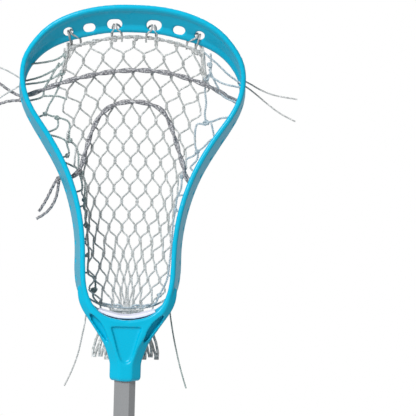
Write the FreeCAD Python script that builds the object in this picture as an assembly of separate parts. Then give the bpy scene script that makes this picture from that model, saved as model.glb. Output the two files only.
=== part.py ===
import FreeCAD, Part
import math
import os

# Women's field lacrosse stick, standing on its butt cap. Units are millimetres.
# Z runs up the shaft to the head, X is to the right and the playing face looks along -Y,
# so the pocket hangs towards +Y. The origin is the centre of the butt cap's end face.

V = FreeCAD.Vector

# ---------------------------------------------------------------- driving sizes
stick_length = 1092.0          # end face of the butt cap to the scoop's lip
head_length = 360.0            # neck end to the scoop's lip
head_width = 218.0             # over the widest part of the sidewalls
throat_height = 62.0           # neck end to the bottom of the pocket opening

shaft_flats = 20.4             # octagonal alloy tube, measured across its flats
shaft_wall = 1.3
socket_depth = 50.0            # how far the shaft goes up into the head
socket_gap = 0.1               # each side, between shaft and socket
collar_flats = 30.0            # octagonal collar at the neck end
neck_skin = 2.2                # plastic left in front of the socket

side_web = 3.8                 # sidewall between its two rails
front_rail = 5.0               # width of the rail round the playing face
back_rail = 6.0                # width of the rail that the strings are tied to
string_hole = 3.6              # diameter of the stringing holes

pad_thickness = 3.0            # foam ball stop
pad_width = 20.0
pad_gap = 0.3

mesh_thickness = 2.0
mesh_sag = 24.0                # how deep the pocket hangs behind the rails
fringe_thickness = 2.6
fringe_drop = 52.0             # leftover mesh that hangs behind the throat
lace_diameter = 5.0            # shooting string, twisted pair
lace_tail = 3.2                # one strand of a shooting string
string_diameter = 2.0          # sidewall, top and bottom strings
tail_diameter = 1.8            # loose ends of those strings
knot_diameter = 6.0
knot_gap = 0.9                 # knot to the edge of the back rail

cap_length = 46.0
cap_wall = 1.4
cap_collar = 9.5               # octagonal collar at the cap's mouth
cap_flange = 43.0              # diameter of the end disc
cap_flange_thickness = 5.0
cap_foot = 30.4                # diameter of the cone where it meets the end disc
cap_overlap = 36.0             # how far the shaft goes down into the cap
cap_gap = 0.06                 # each side, between shaft and cap

screw_height = 24.0            # above the neck end
screw_diameter = 4.2
screw_head = 8.0
screw_head_height = 2.6
screw_gap = 0.06

neck_end = stick_length - head_length
shaft_bottom = cap_length - cap_overlap
shaft_top = neck_end + socket_depth
wide = head_width / 218.0                            # outline below is drawn for 218 mm
tall = (head_length - throat_height) / (360.0 - 62.0)


# ---------------------------------------------------------------- general shapes
def lift(height):
    """Height on the drawn head outline (above the neck end) to height on the stick."""
    if height <= 62.0:
        return neck_end + height * throat_height / 62.0
    return neck_end + throat_height + (height - 62.0) * tall


def octagon(flats, height, cut=None, front=None, back=None):
    """Eight-sided wire in the plane Z = height; cut is what each corner loses."""
    half = flats / 2.0
    cut = flats * (1.0 - math.tan(math.radians(22.5))) / 2.0 if cut is None else cut
    low = -half if front is None else front
    high = half if back is None else back
    corners = [(half, low + cut), (half, high - cut), (half - cut, high), (cut - half, high),
               (-half, high - cut), (-half, low + cut), (cut - half, low), (half - cut, low)]
    points = [V(x, y, height) for x, y in corners]
    return Part.makePolygon(points + points[:1])


def octagon_bar(flats, bottom, top):
    face = Part.Face(octagon(flats, bottom))
    return face.extrude(V(0, 0, top - bottom))


def prism_xz(outline, front, back):
    """Solid from an outline of (x, z) points, running from Y = front to Y = back."""
    points = [V(x, front, z) for x, z in outline]
    return Part.Face(Part.makePolygon(points + points[:1])).extrude(V(0, back - front, 0))


def both_sides(outline):
    """A right-hand half outline and its mirror image, as one closed outline."""
    left = [(-x, z) for x, z in reversed(outline) if x > 0.01]
    return outline + left


def round_path(route):
    """Straight runs joined by tangent arcs; returns the wire, its length and the radii."""
    edges, radii, start = [], [], route[0]
    for before, corner, after in zip(route, route[1:], route[2:]):
        back, ahead = before - corner, after - corner
        run = min(back.Length, ahead.Length)
        back.normalize()
        ahead.normalize()
        turn = math.pi - back.getAngle(ahead)
        trim = 0.45 * run
        radius = trim / math.tan(turn / 2.0)
        first, last = corner + back * trim, corner + ahead * trim
        middle = (back + ahead).normalize()
        centre_distance = math.hypot(radius, trim)
        top = corner + middle * (centre_distance - radius)
        edges.append(Part.LineSegment(start, first).toShape())
        edges.append(Part.Arc(first, top, last).toShape())
        radii.append(round(radius, 1))
        start = last
    edges.append(Part.LineSegment(start, route[-1]).toShape())
    wire = Part.Wire(edges)
    return wire, wire.Length, radii


def string_tube(name, route, diameter):
    """Round string along a route; prints what a maker would check."""
    wire, length, radii = round_path(route)
    ring = Part.Wire(Part.makeCircle(diameter / 2.0, route[0], route[1] - route[0]))
    tube = wire.makePipeShell([ring], True, False)
    ratio = tube.Volume / (math.pi * diameter ** 2 / 4.0 * length)
    print(f"{name}: length {length:.1f}, volume ratio {ratio:.4f}, radii {radii}")
    return tube


def tall_ball(centre, diameter, stretch):
    """Round knot, drawn out upwards by stretch."""
    start = centre - V(0, 0, stretch / 2.0)
    body = Part.makeCylinder(diameter / 2.0, stretch, start, V(0, 0, 1))
    ends = [Part.makeSphere(diameter / 2.0, start),
            Part.makeSphere(diameter / 2.0, start + V(0, 0, stretch))]
    return body.fuse(ends)


# ---------------------------------------------------------------- sidewall stations
# The wall runs from the bottom of the opening (first) up the right side to the scoop (last).
# Each station: outer edge of the front rail (x, height, y), outer edge of the back rail.
drawn_stations = [
    ((0.0, 54.2, -16.0), (0.0, 54.2, 22.0)),
    ((21.6, 58.4, -16.0), (22.1, 57.9, 22.5)),
    ((36.3, 71.0, -15.5), (40.5, 69.0, 23.5)),
    ((43.4, 89.0, -15.0), (49.9, 87.0, 25.0)),
    ((45.6, 120.0, -13.5), (52.3, 120.0, 26.5)),
    ((50.2, 161.0, -12.0), (57.6, 160.0, 27.0)),
    ((63.6, 202.0, -9.5), (71.6, 199.0, 26.5)),
    ((85.0, 239.0, -9.0), (93.5, 236.0, 25.0)),
    ((101.0, 264.0, -9.5), (106.6, 262.0, 22.5)),
    ((107.4, 286.0, -10.5), (109.0, 283.0, 20.0)),
    ((106.6, 304.0, -12.5), (103.5, 298.5, 17.5)),
    ((98.5, 321.5, -15.0), (89.0, 315.0, 14.5)),
    ((82.0, 339.5, -17.5), (67.0, 326.5, 11.5)),
    ((60.0, 351.5, -19.5), (45.0, 332.5, 9.0)),
    ((31.0, 359.0, -20.5), (22.5, 336.6, 8.0)),
    ((0.0, 361.0, -21.0), (0.0, 337.5, 7.5)),
]


def placed(point):
    x, height, y = point
    return V(x * wide, y, lift(height))


class Station:
    """One cut through the sidewall, with the directions along and out of the wall."""

    def __init__(self, front, back, path):
        self.front, self.back = front, back
        self.along = (back - front).normalize()
        self.depth = (back - front).Length
        outward = V(path.z, 0, -path.x)
        self.out = (outward - self.along * outward.dot(self.along)).normalize()

    def at(self, along, out):
        return self.front + self.along * along + self.out * out

    def section(self):
        d = self.depth
        profile = [(0.0, -1.6), (1.6, 0.0), (d - 1.8, 0.0), (d, -1.8),
                   (d, 1.4 - back_rail), (d - 1.4, -back_rail), (d - 5.0, -back_rail),
                   (d - 10.0, -side_web), (9.5, -side_web), (5.0, -front_rail),
                   (1.2, -front_rail), (0.0, 1.2 - front_rail)]
        return [self.at(along, out) for along, out in profile]


def make_stations():
    fronts = [placed(front) for front, _ in drawn_stations]
    backs = [placed(back) for _, back in drawn_stations]
    middles = [(f + b) * 0.5 for f, b in zip(fronts, backs)]
    stations = []
    for i, (front, back) in enumerate(zip(fronts, backs)):
        if i == 0:
            path = V(1, 0, 0)
        elif i == len(fronts) - 1:
            path = V(-1, 0, 0)
        else:
            step = middles[i + 1] - middles[i - 1]
            path = V(step.x, 0, step.z).normalize()
        stations.append(Station(front, back, path))
    return stations


stations = make_stations()


def wall_point(height, along_share, out):
    """Point on the right sidewall at a drawn height, between two stations."""
    target = lift(height)
    for low, high in zip(stations[1:], stations[2:]):
        a = low.at(low.depth * along_share, out)
        b = high.at(high.depth * along_share, out)
        if a.z <= target <= b.z:
            return a + (b - a) * ((target - a.z) / (b.z - a.z))
    raise ValueError(f"no sidewall at height {height}")


def mirrored(point):
    return V(-point.x, point.y, point.z)


# ---------------------------------------------------------------- head frame
string_heights = [96, 113, 130, 147, 164, 181, 198, 215, 232, 249, 266, 283]
# Ovals in the scoop, from the middle outwards: x, height, length, width, tilt in degrees.
scoop_holes = [(18.8, 341.3, 14.4, 9.1, 3.0), (42.8, 337.2, 11.6, 7.6, 12.0),
               (62.7, 333.0, 9.4, 7.2, 22.0)]


def sidewall_loop():
    """One closed ring: up the right side, over the scoop and down the left."""
    right = [s.section() for s in stations]
    left = [[mirrored(p) for p in section] for section in reversed(right[1:-1])]
    wires = [Part.makePolygon(points + points[:1]) for points in right + left]
    return Part.makeLoft(wires, True, False, True)


def throat_block():
    """Neck collar that widens into the fork under the opening."""
    collar = collar_flats
    corner = collar * (1.0 - math.tan(math.radians(22.5))) / 2.0
    half = collar / 2.0
    rows = [
        (0.0, half - 1.8, half - 1.8, half - 1.8, corner),
        (2.6, half, half, half, corner),
        (14.0, half, half, half, corner),
        (20.5, half + 0.9, half, half + 0.4, corner),
        (28.0, half + 3.4, half + 0.3, half + 1.4, 9.0),
        (36.0, half + 6.8, half + 0.6, half + 3.0, 9.0),
        (46.0, half + 13.0, half + 0.7, half + 4.6, 8.5),
        (57.6, half + 20.8, half + 0.7, half + 6.2, 8.0),
        (69.0, half + 28.2, half + 0.3, half + 7.6, 7.5),
        (79.0, half + 31.8, half - 0.2, half + 8.4, 7.0),
        (90.0, half + 32.6, half - 0.8, half + 8.6, 6.5),
    ]
    wires = [octagon(2 * w, lift(h), cut, front=-f, back=b) for h, w, f, b, cut in rows]
    low = Part.makeLoft(wires[:3], True, True)
    high = Part.makeLoft(wires[2:], True, False)
    return low.fuse(high)


def opening_cutter():
    """What the ball passes through, out to the middle of the sidewall."""
    def ring(y):
        right = []
        for s in stations[:6]:
            start = s.at(0.0, -0.45 * side_web)
            right.append(start + s.along * ((y - start.y) / s.along.y))
        loop = right + [mirrored(p) for p in reversed(right[1:])]
        return Part.makePolygon(loop + loop[:1])
    return Part.makeLoft([ring(-60.0), ring(60.0)], True, True)


def throat_recesses():
    """V panel between the ribs, and the grooves between ribs and outer rails."""
    half = collar_flats / 2.0
    socket_half = shaft_flats / 2.0 + socket_gap
    panel_front = -(socket_half + neck_skin)
    panel = [(15.0, 53.0), (12.6, 46.0), (9.8, 36.0), (6.4, 24.0), (4.0, 19.5), (0.0, 17.6)]
    front_groove = [(36.5, 66.0), (33.0, 57.5), (26.0, 47.5), (17.4, 36.5), (15.2, 33.0),
                    (16.6, 39.0), (20.4, 50.0), (25.0, 57.5), (30.5, 62.5)]
    back_pocket = [(37.5, 63.0), (34.0, 55.5), (26.5, 45.5), (17.6, 33.5), (15.6, 31.0),
                   (15.6, 53.0), (22.0, 55.5), (31.0, 60.0)]

    def raised(outline):
        return [(x, lift(h)) for x, h in outline]
    cuts = [prism_xz(both_sides(raised(panel)), -half - 10.0, panel_front)]
    for outline, front, back in ((front_groove, -half - 10.0, -half + 9.0),
                                 (back_pocket, 2.0, half + 20.0)):
        right = prism_xz(raised(outline), front, back)
        cuts += [right, right.mirror(V(0, 0, 0), V(1, 0, 0))]
    return cuts


def scoop_hole(x, height, length, width, tilt):
    """Oval through the scoop from front to back, tilted to follow its edge."""
    spread = (length - width) / 2.0
    oval = Part.makeBox(2 * spread, 80.0, width, V(-spread, 0, -width / 2.0)).fuse(
        [Part.makeCylinder(width / 2.0, 80.0, V(end, 0, 0), V(0, 1, 0)) for end in (-spread, spread)])
    oval.rotate(V(0, 0, 0), V(0, 1, 0), tilt)
    oval.translate(V(x * wide, -40.0, lift(height)))
    return oval


def string_holes():
    holes = []
    for height in string_heights:
        point = wall_point(height, 0.76, -side_web / 2)
        out = (wall_point(height, 0.76, 10.0) - wall_point(height, 0.76, -10.0)).normalize()
        hole = Part.makeCylinder(string_hole / 2.0, 20.0, point - out * 10.0, out)
        holes += [hole, hole.mirror(V(0, 0, 0), V(1, 0, 0))]
    for x in (-24.0, -10.0, 10.0, 24.0):
        start = V(x * wide, 12.0, lift(48.0))
        holes.append(Part.makeCylinder(string_hole / 2.0, 26.0, start, V(0, 0, 1)))
    return holes


def head_frame():
    throat = throat_block().cut([opening_cutter()] + throat_recesses())
    frame = sidewall_loop().fuse(throat)
    socket = octagon_bar(shaft_flats + 2 * socket_gap, neck_end - 1.0, shaft_top + 0.2)
    screw_hole = Part.makeCylinder(screw_diameter / 2.0 + screw_gap, 30.0,
                                   V(0, 0, neck_end + screw_height), V(0, 1, 0))
    seat = Part.makeCylinder(screw_head / 2.0 + 0.4, 10.0,
                             V(0, screw_seat, neck_end + screw_height), V(0, 1, 0))
    cuts = [socket, screw_hole, seat] + string_holes()
    for place in scoop_holes:
        hole = scoop_hole(*place)
        cuts += [hole, hole.mirror(V(0, 0, 0), V(1, 0, 0))]
    return frame.cut(cuts)


# ---------------------------------------------------------------- shaft, cap and screw
screw_seat = collar_flats / 2.0 - 1.0        # recessed seat of the screw head, behind the socket


def shaft_tube():
    outer = octagon_bar(shaft_flats, shaft_bottom, shaft_top)
    inner = octagon_bar(shaft_flats - 2 * shaft_wall, shaft_bottom - 1.0, shaft_top + 1.0)
    screw_hole = Part.makeCylinder(screw_diameter / 2.0 + screw_gap, shaft_flats,
                                   V(0, 0, neck_end + screw_height), V(0, 1, 0))
    return outer.cut([inner, screw_hole])


def head_screw():
    centre_z = neck_end + screw_height
    tip = shaft_flats / 2.0 - shaft_wall - 2.0
    shank = Part.makeCylinder(screw_diameter / 2.0, screw_seat + 1.0 - tip, V(0, tip, centre_z),
                              V(0, 1, 0))
    head = Part.makeCylinder(screw_head / 2.0, screw_head_height, V(0, screw_seat + 0.02, centre_z),
                             V(0, 1, 0))
    head = head.makeFillet(1.0, [e for e in head.Edges if e.CenterOfMass.y > screw_seat + 2.0])
    top = screw_seat + screw_head_height
    slots = [Part.makeBox(w, 3.0, h, V(-w / 2, top - 1.4, centre_z - h / 2)) for w, h in
             ((4.6, 1.1), (1.1, 4.6))]
    return head.fuse(shank).cut(slots)


def butt_cap():
    """Rubber cap: octagonal collar, cone and a round end disc."""
    sleeve = shaft_flats + 2 * (cap_gap + cap_wall)
    cone_top, cone_bottom = cap_length - cap_collar, cap_flange_thickness - 0.5
    collar = octagon_bar(sleeve, cone_top - 1.0, cap_length)
    cone = Part.makeCone(cap_foot / 2.0, sleeve / 2.0 + 0.45, cone_top - cone_bottom,
                         V(0, 0, cone_bottom), V(0, 0, 1))
    flare = Part.makeCone(cap_foot / 2.0 + 3.4, cap_foot / 2.0 - 0.4, 4.0,
                          V(0, 0, cone_bottom), V(0, 0, 1))
    disc = Part.makeCylinder(cap_flange / 2.0, cap_flange_thickness)
    disc = disc.makeFillet(1.8, [e for e in disc.Edges if len(e.Vertexes) == 1])
    bore = octagon_bar(shaft_flats + 2 * cap_gap, shaft_bottom, cap_length + 1.0)
    return disc.fuse([flare, cone, collar]).cut(bore)


# ---------------------------------------------------------------- foam ball stop
def ball_stop_pad():
    """Foam strip stuck inside the bottom of the opening."""
    used = stations[:4]
    middle = [s.at(s.depth / 2.0, -front_rail - 0.2 - pad_gap) for s in used]
    lower = [(middle[0].x, middle[0].z), (middle[1].x, middle[1].z),
             ((middle[1].x + middle[2].x) / 2 + 1.2, (middle[1].z + middle[2].z) / 2 - 1.2)]
    upper = [(0.0, lower[0][1] + pad_thickness), (lower[1][0] - 0.8, lower[1][1] + pad_thickness),
             (lower[2][0] - 1.6, lower[2][1] + 1.2)]
    centre = (stations[0].front.y + stations[0].back.y) / 2.0

    def arc_edge(points, y):
        ends = [V(-x, y, z) for x, z in reversed(points[1:])] + [V(x, y, z) for x, z in points]
        curve = Part.BSplineCurve()
        curve.interpolate(ends)
        return curve.toShape(), ends[0], ends[-1]
    low, low_left, low_right = arc_edge(lower, centre - pad_width / 2)
    high, high_left, high_right = arc_edge(upper, centre - pad_width / 2)
    sides = [Part.makeLine(low_right, high_right), Part.makeLine(high_left, low_left)]
    face = Part.Face(Part.Wire(Part.__sortEdges__([low, sides[0], high, sides[1]])))
    return face.extrude(V(0, pad_width, 0))


# ---------------------------------------------------------------- mesh pocket
# Rows of the mesh from the bottom to the scoop: height at the sides, rise of the row's
# middle, gap from its ends to the sidewall (or half its width, where the sidewall is too far
# to set it), share of the full sag, and how far back across the sidewall its ends lie.
mesh_rows = [
    (66.0, -1.0, None, 17.0, 0.02, 1.03),
    (76.0, -2.0, None, 27.0, 0.24, 0.92),
    (100.0, 0.0, 6.5, None, 0.60, 0.76),
    (130.0, 0.0, 6.5, None, 0.92, 0.76),
    (160.0, 1.0, 8.0, None, 1.00, 0.76),
    (195.0, 2.0, 14.0, None, 0.95, 0.76),
    (225.0, 3.0, 18.0, None, 0.80, 0.78),
    (252.0, 5.0, 27.0, None, 0.58, 0.80),
    (277.0, 8.0, 31.0, None, 0.36, 0.80),
    (298.0, 15.0, None, 73.5, 0.14, 0.78),
    (313.0, 12.0, None, 66.0, 0.04, 0.78),
]


def mesh_point(row, across, lower=0.0):
    """Point of a mesh row, across from -1 to 1, moved down into the pocket by lower."""
    height, rise, gap, half, sag, back_share = row
    if half is None:
        edge = wall_point(height, back_share, -side_web - gap)
        half_width, depth = edge.x, edge.y
    else:
        near = min(stations, key=lambda s: abs(s.back.z - lift(height)))
        half_width, depth = half * wide, near.at(near.depth * back_share, 0).y
    bulge = 1.0 - abs(across) ** 2.6
    return V(across * half_width, depth + mesh_sag * sag * bulge + lower,
             lift(height) + rise * (1.0 - across ** 2))


def mesh_edge_point(height, off):
    """Point on the mesh's right-hand edge, moved out towards the sidewall by off."""
    ends = [mesh_point(row, 1.0) for row in mesh_rows]
    target = lift(height)
    for a, b in zip(ends, ends[1:]):
        if a.z <= target <= b.z:
            return a + (b - a) * ((target - a.z) / (b.z - a.z)) + V(off, 0, 0)
    raise ValueError(f"no mesh edge at height {height}")


def mesh_surface(lower):
    shares = [-1.0, -0.85, -0.6, -0.3, 0.0, 0.3, 0.6, 0.85, 1.0]
    grid = [[mesh_point(row, a, lower) for a in shares] for row in mesh_rows]
    surface = Part.BSplineSurface()
    surface.interpolate(grid)
    return surface.toShape()


def skin_between(inner, outer):
    """Closed solid between two faces with matching edges."""
    faces = [inner, outer]
    for a, b in zip(inner.Edges, outer.Edges):
        faces.append(Part.makeRuledSurface(a, b))
    shell = Part.Shell(Part.makeCompound(faces).Faces)
    shell.sewShape()
    solid = Part.Solid(Part.Shell(shell.Faces))
    if solid.Volume < 0:
        solid.reverse()
    return solid


def mesh_pocket():
    """Closed skin with the pocket's true outer shape; the real mesh is open diamonds."""
    return skin_between(mesh_surface(0.0), mesh_surface(mesh_thickness))


def on_mesh(x, height, off):
    """Point in front of the mesh (off is negative) at a place seen from the front."""
    target = lift(height)
    points = []
    for row in mesh_rows:
        edge = mesh_point(row, 1.0).x
        points.append(mesh_point(row, max(-1.0, min(1.0, x * wide / edge))))
    for a, b in zip(points, points[1:]):
        if a.z <= target <= b.z:
            depth = a.y + (b.y - a.y) * (target - a.z) / (b.z - a.z)
            return V(x * wide, depth + off, target)
    raise ValueError(f"no mesh at {x}, {height}")


def mesh_fringe():
    """Leftover mesh: it folds over the back of the throat and hangs in a fan."""
    top, bottom = lift(66.0) + 1.0, lift(66.0) + 1.0 - fringe_drop
    front = stations[0].back.y + 2.6
    outline = [(17.0, top), (24.0, top - 14.0), (30.0, top - 28.0), (33.0, bottom), (17.0, bottom - 1.5)]
    return prism_xz(both_sides(outline), front, front + fringe_thickness)


# ---------------------------------------------------------------- laced strings
# Both shooting strings as seen from the front, left to right: x and height.
upper_shooting_route = [(-94.0, 273.5), (-82.0, 281.0), (-66.0, 288.5), (-44.0, 293.6), (-19.0, 296.2),
                        (6.0, 297.0), (31.0, 295.8), (53.0, 292.4), (72.0, 286.6), (86.0, 279.6),
                        (97.0, 272.5)]
lower_shooting_route = [(-52.0, 196.5), (-48.0, 202.0), (-45.2, 212.0), (-41.0, 228.5), (-36.0, 245.0),
                        (-28.5, 256.5), (-17.0, 263.8), (-1.0, 266.4), (15.5, 265.6), (28.0, 260.5),
                        (36.0, 250.0), (41.5, 236.0), (46.5, 221.0), (51.0, 207.0), (53.5, 197.5)]


def shooting_string(name, route):
    points = [on_mesh(x, h, -lace_diameter / 2.0 - 0.4) for x, h in route]
    return string_tube(name, points, lace_diameter)


def sidewall_string(name, side):
    """Zigzag from the stringing holes to the mesh edge and back, all the way up one side."""
    at_wall = -side_web - string_diameter / 2.0 - 0.3
    pitch = string_heights[1] - string_heights[0]
    points = []
    for height in string_heights[:-1]:
        points.append(wall_point(height, 0.76, at_wall))
        points.append(mesh_edge_point(height + pitch / 2.0, -0.5))
    points.append(wall_point(string_heights[-1], 0.76, at_wall))
    if side < 0:
        points = [mirrored(p) for p in points]
    return string_tube(name, points, string_diameter)


def top_string():
    """Loops through four of the scoop's holes and round its back edge to the mesh."""
    loops = []
    inside, behind = -side_web - 2.0, 2.6
    for x, height, *_ in (scoop_holes[0], scoop_holes[2]):
        for low, high in zip(stations[9:], stations[10:]):
            crossings = []
            for s in (low, high):
                front_edge, back_edge = s.at(0.0, -side_web / 2.0), s.at(s.depth, -side_web / 2.0)
                along = s.depth * (front_edge.z - lift(height)) / (front_edge.z - back_edge.z)
                crossings.append((s.at(along, -side_web / 2.0).x, along))
            (low_x, low_along), (high_x, high_along) = crossings
            if high_x <= x * wide <= low_x:
                break
        share = (low_x - x * wide) / (low_x - high_x)
        through = low_along + (high_along - low_along) * share

        def spot(along, out):
            a, b = low.at(along, out), high.at(along, out)
            return a + (b - a) * share
        depth = low.depth + (high.depth - low.depth) * share
        points = [spot(depth + 6.5, inside + 3.0), spot(depth - 1.0, inside - 1.6),
                  spot(through + 1.0, inside + 0.6), spot(through - 1.0, behind - 0.6),
                  spot(depth - 1.0, behind + 1.6), spot(depth + 6.5, behind - 3.0)]
        loop = string_tube("top_string", points, string_diameter)
        loops += [loop, loop.mirror(V(0, 0, 0), V(1, 0, 0))]
    return Part.makeCompound(loops)


def bottom_string():
    """Gathers the mesh along its lower edge, behind the bottom of the opening."""
    y = stations[0].back.y + 3.6
    half = [(39.6, y + 2.0, 76.4), (31.0, y + 1.4, 72.0), (23.0, y + 1.0, 69.3), (12.0, y + 3.8, 68.2)]
    right = [V(x, depth, lift(h)) for x, depth, h in half]
    points = right + [mirrored(p) for p in reversed(right)]
    return string_tube("bottom_string", points, string_diameter)


# ---------------------------------------------------------------- knots and loose ends
# Knots lie against the edge of the back rail: height, distance in from the wall's outer
# face, side, and how much taller than round each one is.
knots = {
    "left_top_knot": (284.0, -2.5, -1, 5.0),
    "right_top_knot": (291.0, -2.5, 1, 4.0),
    "upper_shooting_knot": (268.0, -1.0, -1, 5.0),
    "lower_shooting_knot": (190.0, 0.0, -1, 5.0),
    "bottom_left_knot": (77.0, -5.0, -1, 3.0),
    "bottom_right_knot": (77.0, -3.0, 1, 3.0),
}

# Loose ends, as steps from the middle of their knot: x, y, z.
tails = {
    "left_top_tail_1": ("left_top_knot", tail_diameter, [
        (-0.5, 0.5, 2.5), (-9.0, 1.6, 7.6), (-18.5, 2.0, 12.2), (-28.5, 1.4, 15.2), (-37.0, 0.6, 15.8)]),
    "left_top_tail_2": ("left_top_knot", tail_diameter, [
        (-0.5, 0.5, -2.5), (-8.6, 0.2, -7.8), (-17.6, -0.4, -13.2), (-26.6, -1.0, -20.0),
        (-33.4, -1.6, -26.8)]),
    "right_top_tail_1": ("right_top_knot", tail_diameter, [
        (0.5, 0.5, 2.0), (9.0, 1.4, -1.4), (19.5, 1.8, -7.6), (32.0, 1.4, -12.4), (45.0, 0.8, -14.6),
        (56.6, 0.2, -16.0)]),
    "right_top_tail_2": ("right_top_knot", tail_diameter, [
        (0.5, 0.5, -2.0), (8.4, 1.6, -6.2), (17.6, 2.0, -13.2), (28.0, 1.6, -21.6), (39.0, 1.0, -29.6),
        (48.0, 0.4, -34.2), (55.4, 0.0, -37.6)]),
    "upper_shooting_tail_1": ("upper_shooting_knot", lace_tail, [
        (-0.5, 0.5, 2.0), (-8.4, 1.8, 4.8), (-16.0, 2.4, 10.0), (-24.0, 2.4, 15.6), (-32.0, 2.0, 19.0),
        (-39.5, 1.6, 20.6)]),
    "upper_shooting_tail_2": ("upper_shooting_knot", lace_tail, [
        (-0.5, 0.5, -2.0), (-8.8, 1.6, -2.4), (-17.4, 2.0, -4.4), (-25.6, 1.6, -8.6), (-33.2, 1.0, -14.2),
        (-39.6, 0.4, -20.6)]),
    "lower_shooting_tail_1": ("lower_shooting_knot", lace_tail, [
        (-0.8, 0.6, 2.0), (-5.6, 1.6, -6.6), (-9.4, 2.0, -15.6), (-13.8, 1.6, -24.0), (-18.4, 1.0, -31.4)]),
    "lower_shooting_tail_2": ("lower_shooting_knot", lace_tail, [
        (0.2, 0.6, -2.4), (-0.6, 1.8, -11.6), (-3.0, 2.2, -20.4), (-7.4, 2.0, -28.4), (-13.8, 1.6, -34.6),
        (-20.6, 1.0, -38.4)]),
    "bottom_left_tail": ("bottom_left_knot", tail_diameter, [
        (0.2, 0.5, -1.8), (0.8, 2.3, -12.3), (-0.4, 3.3, -26.2), (-3.2, 3.3, -39.9), (-5.6, 2.7, -53.2),
        (-9.6, 1.7, -66.6), (-14.6, 0.9, -78.8), (-19.0, 0.1, -87.8)]),
    "bottom_right_tail": ("bottom_right_knot", tail_diameter, [
        (-0.5, 0.5, -1.8), (0.3, 2.3, -12.0), (2.5, 3.3, -25.6), (5.1, 3.3, -39.2), (8.2, 2.7, -52.6),
        (11.5, 1.7, -65.8), (15.1, 0.9, -77.8), (18.3, 0.1, -87.6)]),
}


def knot_centre(name):
    height, out, side, _ = knots[name]
    edge = wall_point(height, 1.0, out)
    station = min(stations, key=lambda s: abs(s.back.z - lift(height)))
    centre = edge + station.along * (knot_diameter / 2.0 + knot_gap)
    return centre if side > 0 else mirrored(centre)


def knot(name):
    return tall_ball(knot_centre(name), knot_diameter, knots[name][3])


def tail(name):
    knot_name, diameter, steps = tails[name]
    centre = knot_centre(knot_name)
    return string_tube(name, [centre + V(*step) for step in steps], diameter)


# ---------------------------------------------------------------- output
def write(name, shape):
    solids = shape.Solids
    if not solids or not shape.isValid():
        print(f"{name}: not a valid solid")
    shape = solids[0] if len(solids) == 1 else Part.makeCompound(solids)
    shape.exportStep(f"parts/{name}.step")
    box = shape.optimalBoundingBox()
    print(f"{name}: {len(solids)} solid, volume {shape.Volume:.0f}, x {box.XMin:.1f} {box.XMax:.1f}, "
          f"y {box.YMin:.1f} {box.YMax:.1f}, z {box.ZMin:.1f} {box.ZMax:.1f}")


os.makedirs("parts", exist_ok=True)
write("head_frame", head_frame())
write("shaft_tube", shaft_tube())
write("head_screw", head_screw())
write("butt_cap", butt_cap())
write("ball_stop_pad", ball_stop_pad())
write("mesh_pocket", mesh_pocket())
write("mesh_fringe", mesh_fringe())
write("top_string", top_string())
write("bottom_string", bottom_string())
write("left_sidewall_string", sidewall_string("left_sidewall_string", -1))
write("right_sidewall_string", sidewall_string("right_sidewall_string", 1))
write("upper_shooting_string", shooting_string("upper_shooting_string", upper_shooting_route))
write("lower_shooting_string", shooting_string("lower_shooting_string", lower_shooting_route))
for knot_name in knots:
    write(knot_name, knot(knot_name))
for tail_name in tails:
    write(tail_name, tail(tail_name))
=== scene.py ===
import math

import bmesh
import bpy
import numpy as np
from mathutils import Matrix, Vector


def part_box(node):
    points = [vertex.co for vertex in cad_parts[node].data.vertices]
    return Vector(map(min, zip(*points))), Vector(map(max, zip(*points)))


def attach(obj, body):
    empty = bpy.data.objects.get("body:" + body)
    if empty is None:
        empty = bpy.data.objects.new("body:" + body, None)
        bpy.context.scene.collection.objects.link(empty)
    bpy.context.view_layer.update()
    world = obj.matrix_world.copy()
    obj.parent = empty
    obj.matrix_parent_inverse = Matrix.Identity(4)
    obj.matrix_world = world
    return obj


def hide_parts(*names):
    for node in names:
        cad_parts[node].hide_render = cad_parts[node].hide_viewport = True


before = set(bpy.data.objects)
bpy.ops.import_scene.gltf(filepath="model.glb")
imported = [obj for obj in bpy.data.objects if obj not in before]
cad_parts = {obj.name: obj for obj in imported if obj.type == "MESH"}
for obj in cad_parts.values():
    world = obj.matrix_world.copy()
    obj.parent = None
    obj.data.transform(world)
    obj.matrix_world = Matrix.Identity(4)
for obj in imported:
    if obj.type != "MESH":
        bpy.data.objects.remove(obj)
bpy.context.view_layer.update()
scene = bpy.context.scene
scene.view_settings.view_transform = "Standard"

# ---------------------------------------------------------------- camera
# A long lens in front of the head and 3 degrees above it. The frame takes in 0.40 m at the stick,
# which leans 1.7 degrees in it.
seen_width = 0.3994
stand_point = Vector((-0.02, -2.2, 1.033))
aim_point = Vector((0.0753, 0.0, 0.900))
lean = math.radians(1.66)

camera = bpy.data.objects.new("camera", bpy.data.cameras.new("camera"))
scene.collection.objects.link(camera)
look = aim_point - stand_point
turned = look.to_track_quat("-Z", "Y").to_matrix() @ Matrix.Rotation(lean, 3, "Z")
camera.location = stand_point
camera.rotation_euler = turned.to_euler()
camera.data.sensor_width = 36.0
camera.data.lens = 36.0 * look.length / seen_width
camera.data.clip_end = 40.0
scene.camera = camera


# ---------------------------------------------------------------- loose ends
# Each string is knotted behind the sidewall and its two ends hang free: thin twisted polyester
# cord at the scoop and throat, soft braided nylon lace at the shooting strings. Cut ends are bare.
cord_diameter = 0.0018
lace_diameter = 0.0032


def linear(code):
    """A colour written as sRGB hex, as the linear values that a shader takes."""
    parts = [int(code[i:i + 2], 16) / 255.0 for i in (1, 3, 5)]
    return [c / 12.92 if c <= 0.04045 else ((c + 0.055) / 1.055) ** 2.4 for c in parts] + [1.0]


def add(tree, kind, wires=None, **settings):
    """Adds one node; wires maps an input to a socket of another node or to a value."""
    node = tree.nodes.new(kind)
    for name, value in settings.items():
        setattr(node, name, value)
    for socket, value in (wires or {}).items():
        if isinstance(value, bpy.types.NodeSocket):
            tree.links.new(value, node.inputs[socket])
        else:
            node.inputs[socket].default_value = value
    return node


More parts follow.
